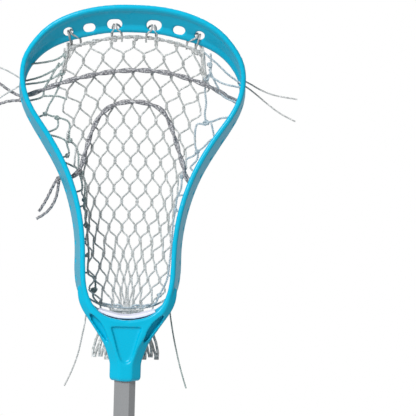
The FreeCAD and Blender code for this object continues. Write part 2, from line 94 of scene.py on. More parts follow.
def new_finish(name):
    """An empty material with its node tree and its surface shader."""
    finish = bpy.data.materials.new(name)
    finish.use_nodes = True
    return finish, finish.node_tree, finish.node_tree.nodes["Principled BSDF"]


def cord_finish(name, dark, light, fleck, fleck_mm, roughness, twist):
    """Spun or braided yarn: colour mottled every fleck_mm, ridges that wind round each strand."""
    finish, tree, surface = new_finish(name)
    place = add(tree, "ShaderNodeTexCoord")
    mottle = add(tree, "ShaderNodeTexNoise", {"Vector": place.outputs["Object"],
                                              "Scale": 1000.0 / fleck_mm, "Detail": 2.0})
    shade = add(tree, "ShaderNodeValToRGB", {"Fac": mottle.outputs["Fac"]})
    for stop, (position, code) in zip((shade.color_ramp.elements[0], shade.color_ramp.elements[1],
                                       shade.color_ramp.elements.new(0.5)),
                                      ((0.30, fleck), (0.70, light), (0.46, dark))):
        stop.position, stop.color = position, linear(code)
    along = add(tree, "ShaderNodeAttribute", attribute_name="along")
    around = add(tree, "ShaderNodeAttribute", attribute_name="around")
    wound = add(tree, "ShaderNodeMath", {0: along.outputs["Fac"], 1: twist,
                                         2: around.outputs["Fac"]}, operation="MULTIPLY_ADD")
    ridge = add(tree, "ShaderNodeMath", {0: wound.outputs[0], 1: 12.566}, operation="MULTIPLY")
    wave = add(tree, "ShaderNodeMath", {0: ridge.outputs[0]}, operation="SINE")
    bump = add(tree, "ShaderNodeBump", {"Height": wave.outputs[0], "Strength": 0.5,
                                        "Distance": 0.00012})
    tree.links.new(shade.outputs["Color"], surface.inputs["Base Color"])
    tree.links.new(bump.outputs["Normal"], surface.inputs["Normal"])
    surface.inputs["Roughness"].default_value = roughness
    surface.inputs["IOR"].default_value = 1.53
    surface.inputs["Sheen Weight"].default_value = 0.15
    surface.inputs["Sheen Roughness"].default_value = 0.5
    return finish


# Spun polyester: dull and slightly fuzzy, with the twist of its yarns just visible.
white_cord = cord_finish("white twisted polyester", "#AAADAD", "#BABDBD", "#999D9D", 1.6, 0.85, 900.0)
pale_cord = cord_finish("pale blue-grey twisted polyester", "#9FB0B9", "#B4C3CA", "#8B9CA6", 1.6,
                        0.85, 900.0)
# The same white cord, painted darker and greener: painted shade and a painted cyan reflection from the
# head. The left sidewall string, the lower right tail and its knot use it.
shaded_cyan_tinted_cord = cord_finish("twisted polyester with painted shade and cyan reflection", "#869896", "#9CABA8", "#6E8280", 1.6, 0.85,
                        900.0)
# Braided nylon lace: a mix of light and dark grey threads that reads as flecks.
lace_yarn = cord_finish("heather grey braided nylon", "#68686D", "#838387", "#414248", 1.3, 0.8,
                        520.0)

plied = bpy.data.node_groups.new("plied cord", "GeometryNodeTree")
plied.interface.new_socket(name="Geometry", in_out="INPUT", socket_type="NodeSocketGeometry")
for label, kind, usual in (("Plies", "Int", 2), ("Ply radius", "Float", 0.0005),
                           ("Ply offset", "Float", 0.0005), ("Turns per metre", "Float", 60.0),
                           ("Step", "Float", 0.0012), ("Sides", "Int", 6)):
    plied.interface.new_socket(name=label, in_out="INPUT",
                               socket_type="NodeSocket" + kind).default_value = usual
plied.interface.new_socket(name="Yarn", in_out="INPUT", socket_type="NodeSocketMaterial")
plied.interface.new_socket(name="Geometry", in_out="OUTPUT", socket_type="NodeSocketGeometry")
given = add(plied, "NodeGroupInput")
line = add(plied, "GeometryNodeMeshToCurve", {"Mesh": given.outputs["Geometry"]})
bend = add(plied, "GeometryNodeCurveSplineType", {"Curve": line.outputs[0]},
           spline_type="CATMULL_ROM")
fine = add(plied, "GeometryNodeSetSplineResolution", {"Geometry": bend.outputs[0], "Resolution": 6})
even = add(plied, "GeometryNodeResampleCurve", {"Curve": fine.outputs[0],
                                                "Length": given.outputs["Step"]}, mode="LENGTH")
reach = add(plied, "GeometryNodeSplineParameter")
turns = add(plied, "ShaderNodeMath", {0: reach.outputs["Length"],
                                      1: given.outputs["Turns per metre"]}, operation="MULTIPLY")
angle = add(plied, "ShaderNodeMath", {0: turns.outputs[0], 1: 2.0 * math.pi}, operation="MULTIPLY")
wound = add(plied, "GeometryNodeSetCurveTilt", {"Curve": even.outputs[0], "Tilt": angle.outputs[0]})
marked = add(plied, "GeometryNodeStoreNamedAttribute",
             {"Geometry": wound.outputs[0], "Name": "along", "Value": reach.outputs["Length"]},
             data_type="FLOAT", domain="POINT")
number = add(plied, "GeometryNodeInputIndex")
share = add(plied, "ShaderNodeMath", {0: number.outputs[0], 1: given.outputs["Plies"]},
            operation="DIVIDE")
bearing = add(plied, "ShaderNodeMath", {0: share.outputs[0], 1: 2.0 * math.pi},
              operation="MULTIPLY")
cosine = add(plied, "ShaderNodeMath", {0: bearing.outputs[0]}, operation="COSINE")
sine = add(plied, "ShaderNodeMath", {0: bearing.outputs[0]}, operation="SINE")
heading = add(plied, "ShaderNodeCombineXYZ", {"X": cosine.outputs[0], "Y": sine.outputs[0]})
seat = add(plied, "ShaderNodeVectorMath", {0: heading.outputs[0], "Scale": given.outputs["Ply offset"]},
           operation="SCALE")
spots = add(plied, "GeometryNodePoints", {"Count": given.outputs["Plies"], "Position": seat.outputs[0]})
ring = add(plied, "GeometryNodeCurvePrimitiveCircle",
           {"Resolution": given.outputs["Sides"], "Radius": given.outputs["Ply radius"]})
ring_mark = add(plied, "GeometryNodeStoreNamedAttribute",
                {"Geometry": ring.outputs[0], "Name": "around", "Value": reach.outputs["Factor"]},
                data_type="FLOAT", domain="POINT")
rings = add(plied, "GeometryNodeInstanceOnPoints", {"Points": spots.outputs[0],
                                                    "Instance": ring_mark.outputs[0]})
bundle = add(plied, "GeometryNodeRealizeInstances", {"Geometry": rings.outputs[0]})
tube = add(plied, "GeometryNodeCurveToMesh", {"Curve": marked.outputs[0],
                                              "Profile Curve": bundle.outputs[0],
                                              "Fill Caps": True})
soft = add(plied, "GeometryNodeSetShadeSmooth", {"Geometry": tube.outputs[0]})
whole = add(plied, "GeometryNodeRealizeInstances", {"Geometry": soft.outputs[0]})
dyed = add(plied, "GeometryNodeSetMaterial", {"Geometry": whole.outputs[0],
                                              "Material": given.outputs["Yarn"]})
add(plied, "NodeGroupOutput", {"Geometry": dyed.outputs[0]})


def settled(piece):
    """Works a piece's modifiers into a plain mesh, so that none is left on it."""
    bpy.context.view_layer.update()
    graph = bpy.context.evaluated_depsgraph_get()
    mesh = bpy.data.meshes.new_from_object(piece.evaluated_get(graph))
    piece.modifiers.clear()
    piece.data = mesh
    return piece


def spun(name, runs, yarn, plies, ply_radius, ply_offset, turns_per_metre, step=0.0012, sides=6):
    """Cord of twisted plies that follows runs of points, in metres, as one plain mesh."""
    points = [tuple(p) for run in runs for p in run]
    starts = np.cumsum([0] + [len(run) for run in runs])
    edges = [(i, i + 1) for a, b in zip(starts, starts[1:]) for i in range(a, b - 1)]
    mesh = bpy.data.meshes.new(name)
    mesh.from_pydata(points, edges, [])
    piece = bpy.data.objects.new(name, mesh)
    scene.collection.objects.link(piece)
    modifier = piece.modifiers.new("plied", "NODES")
    modifier.node_group = plied
    wanted = {"Plies": plies, "Ply radius": ply_radius, "Ply offset": ply_offset,
              "Turns per metre": turns_per_metre, "Step": step, "Sides": sides, "Yarn": yarn}
    for item in plied.interface.items_tree:
        if item.name in wanted:
            modifier[item.identifier] = wanted[item.name]
    return settled(piece)


def middle(node):
    low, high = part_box(node)
    return (low + high) / 2.0


# Steps from the middle of the knot, in metres.
loose_ends = {
    "left_top_tail_1": ("left_top_knot", 0.0395, white_cord, [
        (-0.0005, 0.0005, 0.0025), (-0.009, 0.0016, 0.0076), (-0.0185, 0.002, 0.0122),
        (-0.0285, 0.0014, 0.0152), (-0.037, 0.0006, 0.0158)]),
    "left_top_tail_2": ("left_top_knot", 0.0412, white_cord, [
        (-0.0005, 0.0005, -0.0025), (-0.0086, 0.0002, -0.0078), (-0.0176, -0.0004, -0.0132),
        (-0.0266, -0.001, -0.02), (-0.0334, -0.0016, -0.0268)]),
    "right_top_tail_1": ("right_top_knot", 0.0596, white_cord, [
        (0.0005, 0.0005, 0.002), (0.009, 0.0014, -0.0014), (0.0195, 0.0018, -0.0076),
        (0.032, 0.0014, -0.0124), (0.045, 0.0008, -0.0146), (0.0566, 0.0002, -0.016)]),
    "right_top_tail_2": ("right_top_knot", 0.0658, white_cord, [
        (0.0005, 0.0005, -0.002), (0.0084, 0.0016, -0.0062), (0.0176, 0.002, -0.0132),
        (0.028, 0.0016, -0.0216), (0.039, 0.001, -0.0296), (0.048, 0.0004, -0.0342),
        (0.0554, 0.0, -0.0376)]),
    "upper_shooting_tail_1": ("upper_shooting_knot", 0.0437, lace_yarn, [
        (-0.0005, 0.0005, 0.002), (-0.0084, 0.0018, 0.0048), (-0.016, 0.0024, 0.01),
        (-0.024, 0.0024, 0.0156), (-0.032, 0.002, 0.019), (-0.0395, 0.0016, 0.0206)]),
    "upper_shooting_tail_2": ("upper_shooting_knot", 0.0449, lace_yarn, [
        (-0.0005, 0.0005, -0.002), (-0.0088, 0.0016, -0.0024), (-0.0174, 0.002, -0.0044),
        (-0.0256, 0.0016, -0.0086), (-0.0332, 0.001, -0.0142), (-0.0396, 0.0004, -0.0206)]),
    "lower_shooting_tail_1": ("lower_shooting_knot", 0.0379, lace_yarn, [
        (-0.0008, 0.0006, 0.002), (-0.0056, 0.0016, -0.0066), (-0.0094, 0.002, -0.0156),
        (-0.0138, 0.0016, -0.024), (-0.0184, 0.001, -0.0314)]),
    "lower_shooting_tail_2": ("lower_shooting_knot", 0.0441, lace_yarn, [
        (0.0002, 0.0006, -0.0024), (-0.0006, 0.0018, -0.0116), (-0.003, 0.0022, -0.0204),
        (-0.0074, 0.002, -0.0284), (-0.0138, 0.0016, -0.0346), (-0.0206, 0.001, -0.0384)]),
    "bottom_left_tail": ("bottom_left_knot", 0.0894, white_cord, [
        (0.0002, 0.0005, -0.0018), (0.0008, 0.0023, -0.0123), (-0.0004, 0.0033, -0.0262),
        (-0.0032, 0.0033, -0.0399), (-0.0056, 0.0027, -0.0532), (-0.0096, 0.0017, -0.0666),
        (-0.0146, 0.0009, -0.0788), (-0.019, 0.0001, -0.0878)]),
    # This tail's cord carries painted shade and a painted cyan reflection.
    "bottom_right_tail": ("bottom_right_knot", 0.0883, shaded_cyan_tinted_cord, [
        (-0.0005, 0.0005, -0.0018), (0.0003, 0.0023, -0.012), (0.0025, 0.0033, -0.0256),
        (0.0051, 0.0033, -0.0392), (0.0082, 0.0027, -0.0526), (0.0115, 0.0017, -0.0658),
        (0.0151, 0.0009, -0.0778), (0.0183, 0.0001, -0.0876)]),
}


def hung_line(points):
    """The smooth line that a limp cord takes along its route, as close points."""
    curve = bpy.data.curves.new("route", "CURVE")
    curve.dimensions = "3D"
    spline = curve.splines.new("NURBS")
    spline.points.add(len(points) - 1)
    for point, place in zip(spline.points, points):
        point.co = (*place, 1.0)
    spline.order_u = 3
    spline.use_endpoint_u = True
    spline.resolution_u = 10
    holder = bpy.data.objects.new("route", curve)
    scene.collection.objects.link(holder)
    bpy.context.view_layer.update()
    mesh = bpy.data.meshes.new_from_object(holder)
    close = [v.co.copy() for v in mesh.vertices]
    bpy.data.objects.remove(holder)
    return close


for node, (knot_node, length, yarn, steps) in loose_ends.items():
    start = middle(knot_node)
    line_points = hung_line([start + Vector(step) for step in steps])
    braided = yarn == lace_yarn
    thick = lace_diameter if braided else cord_diameter
    piece = spun("loose_" + node, [line_points], yarn, 3, thick * 0.29, thick * 0.20,
                 55.0 if braided else 160.0, step=0.0012 if braided else 0.0008)
    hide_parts(node)
    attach(piece, "stick")


# ---------------------------------------------------------------- head
# One piece of moulded nylon: a thin sidewall with two rails and a row of stringing holes, a wide
# scoop, and a throat with ribs and a socket for the shaft. Every edge has a small mould radius.
grain_mm = 0.5                # fine texture of the mould
head_colours = ("#0098B8", "#00A3C3")

moulded_nylon, tree, surface = new_finish("moulded nylon")
# Satin sheen with soft highlights; the colour is in the plastic, so it hardly varies.
place = add(tree, "ShaderNodeTexCoord")
drift = add(tree, "ShaderNodeTexNoise", {"Vector": place.outputs["Object"], "Scale": 30.0,
                                         "Detail": 3.0})
tint = add(tree, "ShaderNodeMix", {"Factor": drift.outputs["Fac"], "A": linear(head_colours[0]),
                                   "B": linear(head_colours[1])}, data_type="RGBA")
grain = add(tree, "ShaderNodeTexNoise", {"Vector": place.outputs["Object"],
                                         "Scale": 1000.0 / grain_mm, "Detail": 2.0})
pores = add(tree, "ShaderNodeBump", {"Height": grain.outputs["Fac"], "Strength": 0.25,
                                     "Distance": 0.00006})
gloss = add(tree, "ShaderNodeMapRange", {"Value": drift.outputs["Fac"], "To Min": 0.24, "To Max": 0.32})
tree.links.new(gloss.outputs[0], surface.inputs["Roughness"])
tree.links.new(tint.outputs["Result"], surface.inputs["Base Color"])
tree.links.new(pores.outputs["Normal"], surface.inputs["Normal"])
surface.inputs["IOR"].default_value = 1.53
surface.inputs["Specular IOR Level"].default_value = 0.15


def rounded_copy(name, node, voxel, softening, face_share):
    """Copy of a CAD node with its edges rounded, as a mould or a knife leaves them."""
    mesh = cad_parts[node].data.copy()
    work = bmesh.new()
    work.from_mesh(mesh)
    bmesh.ops.remove_doubles(work, verts=work.verts, dist=0.00002)
    bmesh.ops.recalc_face_normals(work, faces=work.faces)
    work.to_mesh(mesh)
    work.free()
    mesh.materials.clear()
    piece = bpy.data.objects.new(name, mesh)
    scene.collection.objects.link(piece)
    skin = piece.modifiers.new("skin", "REMESH")
    skin.mode, skin.voxel_size, skin.use_smooth_shade = "VOXEL", voxel, True
    soft_edges = piece.modifiers.new("soft edges", "SMOOTH")
    soft_edges.factor, soft_edges.iterations = 0.5, softening
    if face_share < 1.0:
        lighter = piece.modifiers.new("lighter", "DECIMATE")
        lighter.ratio = face_share
    return settled(piece)


head = rounded_copy("moulded_head", "head_frame", voxel=0.0011, softening=5, face_share=0.8)
head.data.materials.append(moulded_nylon)
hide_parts("head_frame")
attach(head, "stick")


# ---------------------------------------------------------------- mesh pocket
# Knitted polyester mesh, eight diamonds wide: single yarns that run together for a few
# millimetres at each joint. Its sides are laced in and its lower end is gathered in the middle.
cells = 8
yarn_radius = 0.00092
joint_half = 0.0034           # half the length over which two yarns run together
joint_spread = 0.00085        # from the joint's middle to each yarn
ply_radius, ply_offset = yarn_radius * 0.62, yarn_radius * 0.5
neck_end = 0.732              # height of the neck's lower end above the butt
tucked_end = 59.5             # where the yarns end, out of sight behind the ball stop
belly = 2.6                   # above 2, the pocket is flatter in the middle than a round bag

mesh_yarn = cord_finish("white knitted polyester", "#A6A9A8", "#B5B8B7", "#969A99", 2.2, 0.85, 700.0)

# Rows of joints, from the throat to the scoop: height above the neck end at the row's middle.
row_heights = [63.8, 72.3, 84.7, 95.1, 106.9, 119.0, 132.0, 144.1, 156.8, 169.8, 182.7, 196.2,
               209.7, 222.5, 236.7, 250.3, 265.9, 279.7, 295.5, 311.3, 322.9]
half_widths = [26.0, 33.0, 37.2, 38.4, 39.4, 40.3, 41.8, 42.2, 43.2, 44.6, 47.0, 50.0, 54.7,
               60.0, 62.5, 64.5, 67.0, 72.0, 74.0, 73.0, 67.0]
# How the diamonds share the width: 1 evenly, more with wide ones in the middle, less gathered.
evenness = [0.34, 0.45, 0.62, 0.72, 0.80, 0.90, 1.12, 1.25, 1.38, 1.36, 1.34, 1.20, 1.10,
            1.00, 1.00, 0.98, 1.00, 1.00, 1.00, 1.08, 1.30]
# How much higher a row is in the middle than at its ends.
rises = [-1.0, -2.0, -1.0, 0.0, 0.0, 0.0, 0.0, 0.0, 1.0, 1.2, 1.6, 2.0, 2.5,
         3.0, 4.0, 5.0, 6.5, 8.0, 12.0, 15.0, 9.0]
# Depth behind the origin at the pocket's sides and middle, by height above the neck end.
depth_heights = [66.0, 76.0, 100.0, 130.0, 160.0, 195.0, 225.0, 252.0, 278.0, 300.0, 311.0, 330.0]
side_depths = [25.5, 21.4, 18.5, 19.7, 20.3, 21.3, 22.8, 24.3, 20.3, 12.2, 9.4, 8.0]
middle_depths = [26.0, 27.0, 32.9, 41.7, 44.3, 44.1, 42.0, 38.2, 29.2, 17.2, 11.6, 8.6]


def pocket_point(x, height):
    """Point of the pocket's surface at a place seen from the front, in millimetres."""
    half = float(np.interp(height, row_heights, half_widths))
    side = float(np.interp(height, depth_heights, side_depths))
    deep = float(np.interp(height, depth_heights, middle_depths))
    bulge = max(0.0, 1.0 - (abs(x) / half) ** belly)
    return Vector((x, side + (deep - side) * bulge, neck_end * 1000.0 + height)) / 1000.0


def joint(row, column):
    """Place of a joint: column counts half diamonds from the left edge."""
    s = column / cells - 1.0
    a = evenness[row]
    x = half_widths[row] * (a * s + (1.0 - a) * s ** 3)
    return x, row_heights[row] - rises[row] * s * s


yarns = []
for strand in range(2 * cells):
    run = [pocket_point(joint(0, strand)[0] * 1.05, tucked_end)]
    for row in range(len(row_heights)):
        column = strand + (strand + row) % 2
        x, height = joint(row, column)
        lean_in = -1.0 if column > strand else 1.0
        x += lean_in * joint_spread * 1000.0
        reach = joint_half * 1000.0 * min(1.0, (row + 3) / 8.0)
        for drop in (-reach, 0.0, reach):
            run.append(pocket_point(x, height + drop))
    yarns.append(run)
# The mesh's top corners are pulled together into bunches, up to the scoop's outer holes.
for side, bunch in ((-1.0, [(62.0, 322.5), (62.7, 312.0), (65.8, 301.5), (66.6, 293.5)]),
                    (1.0, [(64.5, 323.5), (66.6, 315.0), (67.2, 305.0), (68.6, 295.5), (69.6, 287.0)])):
    for i in range(4):
        yarns.append([pocket_point(side * (x + 1.5 * math.sin(1.9 * i + 0.8 * j)), height) + Vector(
            (0.0, 0.0011 * math.cos(2.3 * i + j), 0.0)) for j, (x, height) in enumerate(bunch)])
pocket = spun("knitted_pocket", yarns, mesh_yarn, 3, ply_radius, ply_offset, 150.0, step=0.0016,
              sides=5)
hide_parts("mesh_pocket")
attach(pocket, "stick")


# ---------------------------------------------------------------- leftover mesh
# The tail of the mesh is folded over the back of the throat under its lacing and hangs in a fan
# of paired yarns, cut off blunt.
tufts = 11
fan_runs = []
for i in range(tufts):
    across = i / (tufts - 1) * 2.0 - 1.0
    top_x, low_x = 15.0 * across, 30.5 * across
    low_z = 748.5 + 1.4 * math.sin(2.3 * i) + 1.5 * abs(across)
    depth = 27.6 + 0.9 * math.cos(1.9 * i)
    for side in (-1.0, 1.0):
        fan_runs.append([Vector(p) / 1000.0 for p in (
            (top_x + 0.5 * side, 24.6, 797.0), (top_x + 0.6 * side, depth - 0.6, 794.5),
            (top_x * 0.7 + low_x * 0.3 + 1.1 * side, depth, 786.0),
            (top_x * 0.35 + low_x * 0.65 + 2.1 * side, depth, 772.0),
            (low_x * 0.95 + 1.9 * side, depth, 760.0), (low_x + 1.15 * side, depth, 753.0),
            (low_x + 1.0 * side, depth, low_z))])
fan = spun("leftover_mesh", fan_runs, mesh_yarn, 3, 0.00095, 0.00050, 35.0, step=0.0014)
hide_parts("mesh_fringe")
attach(fan, "stick")


# ---------------------------------------------------------------- shooting strings
# Two pairs of braided laces, twisted together as they weave across the mesh: one high and
# nearly straight, one in an arch. Their ends pass through the sidewall and are knotted behind.
lace_ply = 0.00150
upper_route = [(-103.5, 270.5), (-98.0, 272.0), (-94.0, 273.5), (-82.0, 278.5), (-66.0, 284.5),
               (-44.0, 291.0), (-19.0, 296.0), (6.0, 298.0), (31.0, 296.5), (53.0, 291.5),
               (72.0, 285.0), (86.0, 278.5), (97.0, 272.5), (103.0, 269.5)]
lower_route = [(-58.5, 192.0), (-52.0, 196.5), (-48.0, 202.0), (-45.2, 212.0), (-41.0, 228.5),
               (-36.0, 243.0), (-28.5, 255.5), (-17.0, 264.0), (-1.0, 267.5), (15.5, 266.0),
               (28.0, 260.5), (36.0, 250.0), (41.5, 236.0), (46.5, 221.0), (51.0, 207.0),
               (53.5, 197.5), (58.0, 191.0)]
for name, route in (("upper_shooting_string", upper_route), ("lower_shooting_string", lower_route)):
    run = [pocket_point(x, height) - Vector((0.0, 0.0026, 0.0)) for x, height in route]
    piece = spun("twisted_" + name, [run], lace_yarn, 2, lace_ply, lace_ply * 0.72, 27.0,
                 step=0.0016, sides=10)
    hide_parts(name)
    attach(piece, "stick")


# ---------------------------------------------------------------- sidewall strings
# Thin cord laced from each stringing hole to the edge of the mesh and back, with a knot wherever
# it catches the mesh. It pulls the mesh out to the sidewall and sets the pocket's depth.
string_radius = 0.00108
wall_heights = [90.0, 96.0, 130.0, 164.0, 181.0, 198.0, 215.0, 232.0, 249.0, 266.0, 283.0, 300.0]
wall_widths = [43.6, 44.7, 47.3, 52.3, 58.3, 64.4, 73.9, 84.3, 93.9, 102.1, 104.7, 103.0]
wall_depths = [15.8, 16.4, 17.7, 18.4, 18.5, 18.7, 18.4, 18.0, 16.9, 15.2, 13.0, 9.5]


def laced(x, height, side):
    """Point of a sidewall string; x of None is just inside the sidewall itself."""
    wall = float(np.interp(height, wall_heights, wall_widths))
    half = float(np.interp(height, row_heights, half_widths))
    if x is None:
        x = side * (wall + 1.5)
    share = min(1.0, max(0.0, (abs(x) - half) / max(wall - half, 1.0)))
    at_mesh = pocket_point(side * min(abs(x), half), height).y
    depth = at_mesh + (float(np.interp(height, wall_heights, wall_depths)) / 1000.0 - at_mesh) * share
    return Vector((x / 1000.0, depth, neck_end + height / 1000.0))


def tied(centre, size, lean_angle):
    """Points of a small overhand knot round a centre, in metres."""
    points = []
    for i in range(30):
        t = 2.0 * math.pi * i / 29.0
        around_x = (2.0 + math.cos(3.0 * t)) * math.cos(2.0 * t) * 0.75
        around_z = (2.0 + math.cos(3.0 * t)) * math.sin(2.0 * t)
        turned_x = around_x * math.cos(lean_angle) - around_z * math.sin(lean_angle)
        turned_z = around_x * math.sin(lean_angle) + around_z * math.cos(lean_angle)
        points.append(centre + Vector((turned_x, 0.9 * math.sin(3.0 * t), turned_z)) * size / 3.0)
    return points


left_runs = [
    [(None, 300.5), (-85.0, 303.0), (-71.0, 307.5), (-62.0, 316.0)],
    [(None, 284.0), (-90.0, 288.5), (-76.0, 296.0), (-66.0, 305.0), (-63.0, 316.0)],
    [(None, 281.0), (-87.0, 284.0), (-75.0, 289.0), (-68.0, 295.0)],
    [(None, 265.0), (-92.0, 267.5), (-86.0, 270.5), (-84.5, 278.0), (-78.0, 290.0), (-71.0, 303.0)],
    [(-86.0, 270.5), (-78.0, 271.0), (-70.0, 270.5), (-63.0, 268.0)],
    [(None, 249.0), (-84.0, 253.0), (-80.0, 262.0), (-73.0, 275.0), (-68.0, 290.0)],
    [(-83.0, 253.5), (-77.0, 251.5), (-72.0, 250.0), (-72.0, 240.0), (None, 234.0)],
    [(-72.0, 250.0), (-66.0, 249.0), (-60.0, 245.0), (-60.0, 234.0), (-59.5, 228.5)],
    [(None, 235.0), (-66.0, 230.0), (-61.0, 222.0), (-60.5, 214.0), (None, 211.0)],
    [(-59.5, 228.5), (-53.5, 223.0), (-50.5, 214.0), (-50.0, 203.5), (-46.5, 198.0)],
    [(None, 211.5), (-56.0, 204.0), (-51.0, 200.5), (-47.0, 190.0), (-46.5, 181.0), (None, 178.0)],
    [(-47.5, 197.0), (-43.5, 189.0), (-43.5, 172.0), (-43.8, 163.0), (-40.8, 160.0), (-42.0, 150.0),
     (-40.5, 146.0), (-39.5, 135.0), (-38.8, 128.0), (-38.0, 118.0), (-38.5, 109.0), (-38.0, 100.0),
     (-33.6, 96.5), (-31.0, 91.0), (-31.0, 84.0), (-33.0, 78.5), (-29.0, 72.5), (-24.0, 69.0)],
    [(None, 163.0), (-44.5, 166.0), (-43.0, 170.0)], [(None, 148.0), (-41.5, 146.5)],
    [(None, 132.0), (-40.5, 134.0)], [(None, 116.0), (-39.5, 117.0)], [(None, 99.5), (-38.5, 101.5)],
]
left_knots = [(-68.0, 293.5, 2.7), (-83.5, 253.5, 1.9), (-72.0, 250.0, 2.2), (-59.5, 228.5, 2.6),
              (-61.0, 214.0, 2.1), (-43.5, 171.5, 2.6), (-40.5, 146.5, 2.9), (-32.0, 84.0, 3.0),
              (-39.6, 118.0, 1.8), (-47.0, 197.5, 2.0), (-65.5, 310.0, 2.4)]
right_runs = [
    [(None, 287.0), (92.0, 296.0), (82.0, 305.0), (73.5, 312.0), (66.0, 318.0)],
    [(None, 284.0), (89.0, 287.0), (80.0, 291.0), (72.0, 296.0)],
    [(None, 268.5), (88.0, 275.0), (82.0, 284.0), (77.0, 293.0), (73.0, 301.0)],
    [(74.0, 316.0), (74.5, 300.0), (72.0, 290.0), (70.0, 281.0), (71.5, 268.0), (70.5, 258.0),
     (72.0, 249.5)],
    [(72.0, 249.5), (79.0, 251.0), (86.0, 254.0), (None, 256.0)],
    [(77.0, 249.0), (79.0, 241.0), (80.5, 236.0), (None, 234.5)],
    [(72.0, 247.0), (63.5, 247.5), (61.5, 236.0), (62.5, 225.0), (64.5, 221.0), (60.0, 216.5),
     (54.0, 213.0), (51.5, 203.0), (50.0, 196.0)],
    [(64.5, 221.0), (71.0, 226.5), (78.0, 233.5), (None, 234.5)],
    [(65.0, 220.0), (64.0, 213.0), (58.0, 205.0), (None, 200.0)],
    [(50.0, 196.0), (49.5, 185.0), (46.0, 176.0), (44.5, 164.0), (42.6, 150.0), (42.0, 134.0),
     (40.8, 118.0), (39.0, 100.0), (36.0, 90.0), (31.0, 80.0), (28.5, 73.5), (24.0, 69.5)],
    [(None, 180.5), (47.0, 178.0)], [(None, 164.0), (44.6, 163.0)], [(None, 148.0), (42.6, 149.0)],
    [(None, 132.0), (41.8, 133.0)], [(None, 116.0), (40.8, 117.0)], [(None, 99.5), (39.0, 100.5)],
]
right_knots = [(70.5, 292.5, 2.9), (73.5, 305.0, 2.5), (72.0, 249.5, 2.8), (64.0, 221.0, 2.2),
               (50.0, 196.5, 2.2), (44.8, 164.0, 1.8), (42.0, 134.0, 1.8), (31.5, 80.5, 2.2)]
# The left string's cord carries painted shade and a painted cyan reflection; the right one is pale.
for name, side, runs, catches, yarn in (
        ("left_sidewall_string", -1.0, left_runs, left_knots, shaded_cyan_tinted_cord),
        ("right_sidewall_string", 1.0, right_runs, right_knots, pale_cord)):
    lines = [[laced(x, height, side) for x, height in run] for run in runs]
    lines += [tied(laced(x, height, side), size / 1000.0, 0.7 * i)
              for i, (x, height, size) in enumerate(catches)]
    piece = spun("laced_" + name, lines, yarn, 3, string_radius * 0.55, string_radius * 0.5, 170.0,
                 step=0.0010, sides=5)
    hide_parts(name)
    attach(piece, "stick")


# ---------------------------------------------------------------- top string
# White cord along the top edge of the mesh. It loops through four of the scoop's six holes and
# round the scoop's back edge, two turns in each, and holds the mesh up to the scoop.
top_line = [(-66.0, 311.0), (-60.0, 318.0), (-42.0, 323.6), (-21.0, 328.2), (0.0, 330.0),
            (21.0, 328.8), (41.0, 325.0), (60.0, 318.6), (68.0, 311.0)]
holes = [((18.7, -0.8, 1073.3), (0.0, 0.62, 0.78), (-0.17, 0.77, -0.61), 9.8),
         ((62.6, -1.6, 1065.7), (0.21, 0.55, 0.81), (-0.42, 0.80, -0.43), 13.8)]
edge_x = [x for x, _ in top_line]
edge_heights = [height for _, height in top_line]
top_runs = []
for turn in (0.0, math.pi):
    run = []
    for i in range(53):
        x = -65.0 + 2.5 * i
        wave = x * math.pi / 10.0 + turn
        seat = pocket_point(x, float(np.interp(x, edge_x, edge_heights)))
        run.append(seat + Vector((0.0, 0.0009 * math.cos(wave), 0.0009 * math.sin(wave))))
    top_runs.append(run)
top_runs += [tied(pocket_point(x, float(np.interp(x, edge_x, edge_heights)) - 1.0), 0.0026, 0.5 * x)
             for x in (-58.5, -38.5, -18.5, 1.5, 21.5, 41.5, 61.0)]
for centre, out, down, reach in holes:
    for side in (-1.0, 1.0):
        c, n, s = (Vector((side * v[0], v[1], v[2])) for v in (centre, out, down))
        across = n.cross(s).normalized()
        for leg in (-1.0, 1.0):
            foot = c + s * (reach + 3.0) - n * 1.6 + across * 5.0 * leg
            loop = [foot + Vector((0.0, 2.0, -8.0)), foot + Vector((0.0, -0.4, -2.0)),
                    c + s * (reach - 3.0) - n * 3.6 + across * 4.0 * leg,
                    c + s * 4.5 - n * 3.2 + across * 1.9 * leg, c + s * 2.2 - n * 1.5 + across * 1.3 * leg,
                    c + s * 2.4 + n * 1.6 + across * 1.3 * leg, c + s * 5.0 + n * 3.2 + across * 1.8 * leg,
                    c + s * (reach - 2.0) + n * 3.4 + across * 3.4 * leg,
                    c + s * (reach + 3.4) + n * 1.2 + across * 4.4 * leg,
                    foot + Vector((0.0, 3.0, -6.0))]
            top_runs.append([p / 1000.0 for p in loop])
top_piece = spun("laced_top_string", top_runs, white_cord, 3, 0.00058, 0.00054, 170.0, step=0.0009,
                 sides=6)
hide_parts("top_string")
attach(top_piece, "stick")


# ---------------------------------------------------------------- bottom string
# White cord that gathers the lower edge of the mesh behind the ball stop and ties it to the
# throat through the holes under the opening.
y = 28.3
gather = [[(-38.0, y, 808.0), (-31.0, y - 1.0, 804.0), (-23.0, y - 2.0, 800.8), (-12.0, y - 2.4, 799.6),
           (0.0, y - 2.6, 799.2), (12.0, y - 2.4, 799.6), (23.0, y - 2.0, 800.8), (31.0, y - 1.0, 804.0),
           (38.0, y, 808.0)],
          [(-26.0, y - 1.6, 803.5), (-20.0, y - 3.6, 802.6), (-14.0, y - 1.4, 801.4),
           (-9.0, y - 3.8, 802.2), (-4.0, y - 1.8, 800.4)],
          [(4.0, y - 1.8, 800.4), (9.0, y - 3.8, 802.2), (14.0, y - 1.4, 801.4), (20.0, y - 3.6, 802.6),
           (26.0, y - 1.6, 803.5)]]
bottom_piece = spun("laced_bottom_string", [[Vector(p) / 1000.0 for p in run] for run in gather],
                    pale_cord, 3, 0.00058, 0.00054, 170.0, step=0.0009)
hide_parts("bottom_string")
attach(bottom_piece, "stick")


